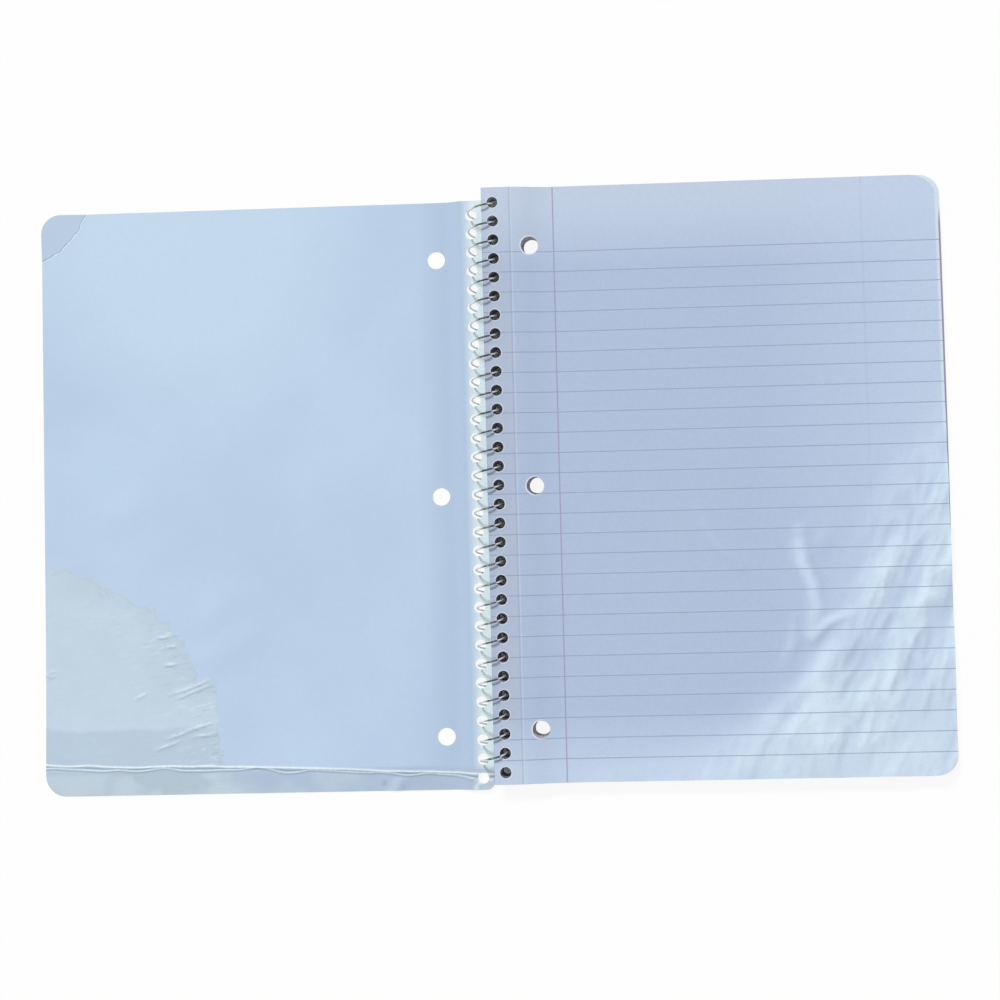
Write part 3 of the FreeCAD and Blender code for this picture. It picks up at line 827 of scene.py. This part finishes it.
# %% Paper seen at its cut edges
sheet_edges, tree, in_mm, at_x, at_y = new_finish("cut_paper_edges")
long_way = add(tree, "ShaderNodeVectorMath", {0: in_mm, 1: (0.05, 0.05, 4.0)}, operation="MULTIPLY")
bands = add(tree, "ShaderNodeTexNoise", {"Vector": long_way, "Scale": 1.0, "Detail": 3.0, "Roughness": 0.6})
specks = add(tree, "ShaderNodeTexNoise", {"Vector": in_mm, "Scale": 1.1, "Detail": 3.0, "Roughness": 0.6})
normal = add(tree, "ShaderNodeNewGeometry", output="Normal")
facing_for_painted_light = add(tree, "ShaderNodeSeparateXYZ", {0: normal}, output="Z")
between_ends = add(tree, "ShaderNodeMath", {0: at_y, 1: PAGES_Y, 2: SHEET_HEIGHT / 2 - 1.1},
                   operation="COMPARE")


def in_strip(middle_x, reach):
    """1 in a strip along the spine, between the head and the foot of the stack."""
    strip = add(tree, "ShaderNodeMath", {0: at_x, 1: middle_x, 2: reach}, operation="COMPARE")
    return add(tree, "ShaderNodeMath", {0: strip, 1: between_ends}, operation="MULTIPLY")


edge_tone = washed(tree, "#C4C4D1", [
    (bands, 0.35, 0.65, 1.0, "#E0E3EB"),
    (specks, 0.55, 0.75, 0.35, "#A9A4B2"),
    (in_strip(6.5, 5.0), 0.0, 1.0, 0.8, "#63646A"),         # painted shade on the walls of the coil holes
    (in_strip(21.0, 7.0), 0.0, 1.0, 1.0, "#F0F1F5"),        # painted light on the walls of the binder holes
    # painted shade on the upward faces of the open strips, except near the head
    (facing_for_painted_light, 0.6, 0.8, 0.8, washed(tree, "#85819A", [(at_y, 112.0, 120.0, 1.0, "#D6E4F0")])),
])
close(sheet_edges, {"Base Color": edge_tone, "Roughness": 0.9, "Specular IOR Level": 0.2})

# %% [markdown]
# ## The cover card
# Heavy coated stock, seen from its plain inside. It is smooth and hardly shines. Its tone drifts
# slowly from handling, and a grey stain with a ragged edge, a tide mark, has spread in from the
# outer foot corner. Painted shade darkens the bend and painted light brightens the strip under the
# coil. Where the card is cracked its white core shows, with a painted highlight on the side that
# faces the lamp and painted shade beside it.

# %% The stain: how far in it reaches, its streaks and its tone
cover_card, tree, in_mm, at_x, at_y = new_finish("cover_card_inside")
depth, grooved, cracked, off_ear = [add(tree, "ShaderNodeAttribute", output="Fac", attribute_name=name)
                                    for name in ("stain", "grooved", "cracked", "off_dog_ear")]
teeth = add(tree, "ShaderNodeTexNoise", {"Vector": in_mm, "Scale": 0.16, "Detail": 7.0, "Roughness": 0.62})
teeth = add(tree, "ShaderNodeMapRange", {0: teeth, 1: 0.25, 2: 0.75, 3: -5.0, 4: 5.0})
reach = add(tree, "ShaderNodeMath", {0: depth, 1: teeth}, operation="ADD")
stain_cloud = add(tree, "ShaderNodeTexNoise", {"Vector": in_mm, "Scale": 0.022, "Detail": 4.0,
                                               "Roughness": 0.55})
band_edge = add(tree, "ShaderNodeMapRange", {0: stain_cloud, 1: 0.3, 2: 0.7, 3: -3.0, 4: 3.0})
band_y = add(tree, "ShaderNodeMath", {0: at_y, 1: band_edge}, operation="ADD")
lines_mm = add(tree, "ShaderNodeMapping", {"Vector": in_mm, "Rotation": (0, 0, math.radians(9)),
                                           "Scale": (5.5, 1.0, 1.0)}, vector_type="TEXTURE")
streaks = add(tree, "ShaderNodeTexNoise", {"Vector": lines_mm, "Scale": 0.8, "Detail": 3.0,
                                           "Roughness": 0.55})
near_edge = add(tree, "ShaderNodeMapRange", {0: reach, 1: 26.0, 2: 3.0, 3: 0.15, 4: 1.0})
low_down = add(tree, "ShaderNodeMapRange", {0: at_y, 1: -44.0, 2: -66.0, 3: 0.1, 4: 1.0})
streaky = add(tree, "ShaderNodeMath", {0: near_edge, 1: low_down}, operation="MULTIPLY")
light_streaks, dark_streaks = [add(tree, "ShaderNodeMath", {0: streaky, 1: most}, operation="MULTIPLY")
                               for most in (0.6, 0.45)]
stain_tone = washed(tree, "#BDCEDC", [
    (stain_cloud, 0.38, 0.62, 1.0, "#C3D6E3"),
    (reach, 16.0, 0.0, 0.5, "#B9CCD8"),                     # greyer near its edge
    (band_y, -103.4, -105.4, 0.7, "#B0C3D3"),               # and low down
    (streaks, 0.58, 0.7, light_streaks, "#DDEAF1"),
    (streaks, 0.4, 0.32, dark_streaks, "#9FB3C3"),
])

# %% The strip below the fold
foot_cloud = add(tree, "ShaderNodeTexNoise", {"Vector": in_mm, "Scale": 0.045, "Detail": 2.0,
                                              "Roughness": 0.5})
foot_tone = washed(tree, "#AFC0D7", [
    (foot_cloud, 0.4, 0.6, 1.0, "#BCCDDD"),
    (at_x, -52.0, -14.0, 0.7, "#A2B2C9"),
    (at_x, -104.0, -122.0, 0.75, washed(tree, "#BBCDD6", [(foot_cloud, 0.46, 0.54, 1.0, "#CBDCE6")])),
])

# %% The whole card
cloud = add(tree, "ShaderNodeTexNoise", {"Vector": in_mm, "Scale": 0.014, "Detail": 3.0, "Roughness": 0.5})
grain = add(tree, "ShaderNodeTexNoise", {"Vector": in_mm, "Scale": 0.5, "Detail": 5.0, "Roughness": 0.65})
broken = add(tree, "ShaderNodeMapRange", {0: grain, 1: 0.35, 2: 0.6, 3: 0.7, 4: 1.0})
from_bright = add(tree, "ShaderNodeVectorMath", {0: in_mm, 1: (-135.0, 115.0, 0.0)}, output="Value",
                  operation="DISTANCE")
off_tide = add(tree, "ShaderNodeMath", {0: reach, 1: 0.9}, operation="SUBTRACT")
off_tide = add(tree, "ShaderNodeMath", {0: off_tide}, operation="ABSOLUTE")
shaky = add(tree, "ShaderNodeMapRange", {0: teeth, 1: -5.0, 2: 5.0, 3: -0.9, 4: 0.9})
off_ear = add(tree, "ShaderNodeMath", {0: off_ear, 1: shaky}, operation="ADD")
ear_highlight, ear_shade = [add(tree, "ShaderNodeMath", {0: off_ear, 1: middle, 2: width}, operation="COMPARE")
                       for middle, width in ((0.35, 0.25), (-0.1, 0.22))]
card = washed(tree, "#B7CCE4", [
    (cloud, 0.38, 0.62, 1.0, "#BBD1E8"),
    (at_x, -32.0, -17.0, 0.9, "#ADC2DA"),                   # painted shade on the bend
    (at_x, -10.5, -5.5, 1.0, "#DDEDF0"),                    # painted light on the strip under the coil
    (from_bright, 86.0, 46.0, 0.85, "#C2D7EB"),
    (reach, -0.4, 0.7, 0.92, stain_tone),
    (off_tide, 1.0, 0.1, 0.25, "#A9BBCB"),                  # tide mark
    (at_y, -124.0, -126.5, 0.75, foot_tone),
    (off_ear, 0.1, -0.4, 0.5, "#B3C4DA"),                   # dog-ear and its crease
    # painted highlight on one side of the dog-ear's crease
    (ear_highlight, 0.0, 1.0, 0.5, "#E2F0F8"),
    # painted shade on its other side
    (ear_shade, 0.0, 1.0, 0.7, "#8B9DB3"),
    # painted shade between and below the cracks of the fold, in the nick and on one side of each pucker
    (grooved, 0.0, 1.0, 0.85, "#7B90A5"),
    (cracked, 0.0, 1.0, broken, "#F0FAFE"),                 # white core of the cracks, with painted highlight
])
mottle = add(tree, "ShaderNodeMapRange", {0: grain, 1: 0.3, 2: 0.7, 3: 0.985, 4: 1.015})
card = add(tree, "ShaderNodeVectorMath", {0: card, "Scale": mottle}, operation="SCALE")
bump = add(tree, "ShaderNodeBump", {"Height": grain, "Strength": 0.08, "Distance": 0.0002})
close(cover_card, {"Base Color": card, "Roughness": 0.62, "Specular IOR Level": 0.3, "Normal": bump})

# %% [markdown]
# ## The back board
# Grey board pressed from waste paper, with darker fibres through it.

# %% Grey board
grey_board, tree, in_mm, at_x, at_y = new_finish("grey_pressed_board")
fibres = add(tree, "ShaderNodeTexNoise", {"Vector": in_mm, "Scale": 1.4, "Detail": 6.0, "Roughness": 0.7})
cloud = add(tree, "ShaderNodeTexNoise", {"Vector": in_mm, "Scale": 0.03, "Detail": 2.0})
board = washed(tree, "#A9A9AE", [
    (cloud, 0.0, 1.0, 1.0, "#B7B6B8"),
    (fibres, 0.52, 0.68, 0.5, "#85827F"),
])
bump = add(tree, "ShaderNodeBump", {"Height": fibres, "Strength": 0.2, "Distance": 0.0002})
close(grey_board, {"Base Color": board, "Roughness": 0.88, "Specular IOR Level": 0.2, "Normal": bump})

# %% [markdown]
# ## The wire
# Drawn steel wire without plating: a dull, slightly green grey. Where it runs into the holes of the
# cover and the sheets it is painted pale as a painted highlight, and its finish there is less metallic.

# %% Drawn steel wire
steel_wire, tree, in_mm, at_x, at_y = new_finish("drawn_steel_wire")
rubbed = add(tree, "ShaderNodeTexNoise", {"Vector": in_mm, "Scale": 0.35, "Detail": 4.0, "Roughness": 0.6})
by_cover = add(tree, "ShaderNodeMapRange", {0: at_x, 1: -2.6, 2: -5.2, 4: 0.95})
by_sheets = add(tree, "ShaderNodeMapRange", {0: at_x, 1: 1.7, 2: 2.7, 4: 0.75})
painted_glint = add(tree, "ShaderNodeMath", {0: by_cover, 1: by_sheets}, operation="MAXIMUM")
steel = washed(tree, "#404543", [
    (rubbed, 0.4, 0.65, 1.0, "#686D6A"),
    # painted highlight where the wire runs into the holes of the cover and the sheets
    (painted_glint, 0.0, 1.0, 1.0, "#EDF2F2"),
])
bare_metal = add(tree, "ShaderNodeMapRange", {0: painted_glint, 3: 1.0, 4: 0.35})
rough = add(tree, "ShaderNodeMapRange", {0: rubbed, 1: 0.35, 2: 0.7, 3: 0.45, 4: 0.28})
close(steel_wire, {"Base Color": steel, "Metallic": bare_metal, "Roughness": rough})

# %% Dress the pieces, and say which solid each one stands for
for piece in (page_stack, top_sheet, front_card, back_board):
    pick(piece)
    bpy.ops.object.shade_smooth_by_angle(angle=math.radians(40))
dress(page_stack, sheet_edges, "pages", "page_block")
dress(top_sheet, ruled_paper, "pages", "page_block")
dress(front_card, cover_card, "front", "front_cover")
dress(back_board, grey_board, "back", "back_cover")
dress(coil_wire, steel_wire, "coil", "spiral_wire")

# %% [markdown]
# ## The table
# A plain white floor. What the camera sees of it is mostly its own even white, as on a cut-out
# picture, with enough of its lit surface left in it to keep the notebook's shadow. Under the coil
# holes of the sheets it gives no light of its own, so those deep holes stay as dark as real ones.

# %% Floor
FLOOR_SIZE = 6
FLOOR_DROP = 0.02
OWN_WHITE = 0.9


def looked_at(tree):
    """1 for the camera and for what mirrors and clear pieces show it, 0 for light on other surfaces."""
    path = tree.nodes.new("ShaderNodeLightPath")
    seen = path.outputs["Is Camera Ray"]
    for ray in ("Is Glossy Ray", "Is Transmission Ray"):
        seen = add(tree, "ShaderNodeMath", {0: seen, 1: path.outputs[ray]}, operation="MAXIMUM")
    return seen


bpy.ops.mesh.primitive_plane_add(size=FLOOR_SIZE, location=(0, 0, -FLOOR_DROP * MM))
floor = bpy.context.object
floor.name = "floor"
white_floor, tree, in_mm, at_x, at_y = new_finish("white_floor")
across = add(tree, "ShaderNodeMath", {0: at_x, 1: 7.0, 2: 7.0}, operation="COMPARE")
along = add(tree, "ShaderNodeMath", {0: at_y, 1: PAGES_Y, 2: 132.5}, operation="COMPARE")
under_holes = add(tree, "ShaderNodeMath", {0: across, 1: along}, operation="MULTIPLY")
open_floor = add(tree, "ShaderNodeMapRange", {0: under_holes, 3: OWN_WHITE, 4: 0.0})
own_light = add(tree, "ShaderNodeMath", {0: looked_at(tree), 1: open_floor}, operation="MULTIPLY")
lit = add(tree, "ShaderNodeBsdfDiffuse", {"Color": colour("#F4F4F4")})
glow = add(tree, "ShaderNodeEmission", {"Color": (1, 1, 1, 1), "Strength": 1.0})
both = add(tree, "ShaderNodeMixShader", {0: own_light, 1: lit, 2: glow})
add(tree, "ShaderNodeOutputMaterial", {0: both})
floor.data.materials.append(white_floor)
print("the floor is", FLOOR_SIZE, "m wide")

# %% [markdown]
# ## Light
# Soft light from all round does most of the work, at a level where a colour shows as it is written.
# One broad lamp from beyond the head of the notebook, a little to the left, gives the coil its short
# shadows and shows up the wrinkles.

# %% World and key light
SOFT_SHARE = 0.52
SUN_HEIGHT = math.radians(46)
SUN_FROM = math.radians(116)
SUN_SOFTNESS = math.radians(10)
world = bpy.data.worlds.new("studio")
bpy.context.scene.world = world
world.use_nodes = True
tree = world.node_tree
tree.nodes.clear()
strength = add(tree, "ShaderNodeMapRange", {0: looked_at(tree), 3: SOFT_SHARE, 4: 1.0})
sky = add(tree, "ShaderNodeBackground", {"Color": (1, 1, 1, 1), "Strength": strength})
add(tree, "ShaderNodeOutputWorld", {0: sky})

bpy.ops.object.light_add(type="SUN", location=(-0.1, 0.6, 0.8))
key = bpy.context.object
key.data.energy = (1 - SOFT_SHARE) * math.pi / math.sin(SUN_HEIGHT)
key.data.angle = SUN_SOFTNESS
down = Vector((-math.cos(SUN_FROM), -math.sin(SUN_FROM), -math.tan(SUN_HEIGHT)))
key.rotation_euler = down.to_track_quat("-Z", "Y").to_euler()
print("the key lamp has a strength of", round(key.data.energy, 2))

# %% [markdown]
# ## Camera
# It looks straight down from 60 cm, a little to the right of the coil, with a normal lens.

# %% Camera
CAMERA_PLACE = (0.0246, -0.0300, 0.6)
CAMERA_TURN = (2.27, 1.99, -1.386)
SENSOR_WIDTH = 36
# How many of the picture's 1000 pixels one unit of width covers at one unit of distance.
PIXELS_AT_ONE = 1328.2

camera_data = bpy.data.cameras.new("camera")
camera = bpy.data.objects.new("camera", camera_data)
bpy.context.scene.collection.objects.link(camera)
camera.location = CAMERA_PLACE
camera.rotation_euler = [math.radians(degrees) for degrees in CAMERA_TURN]
camera_data.sensor_width = SENSOR_WIDTH
camera_data.lens = PIXELS_AT_ONE * SENSOR_WIDTH / 1000
bpy.context.scene.camera = camera
bpy.context.scene.view_settings.view_transform = "Standard"
print("the lens is", round(camera_data.lens, 1), "mm")
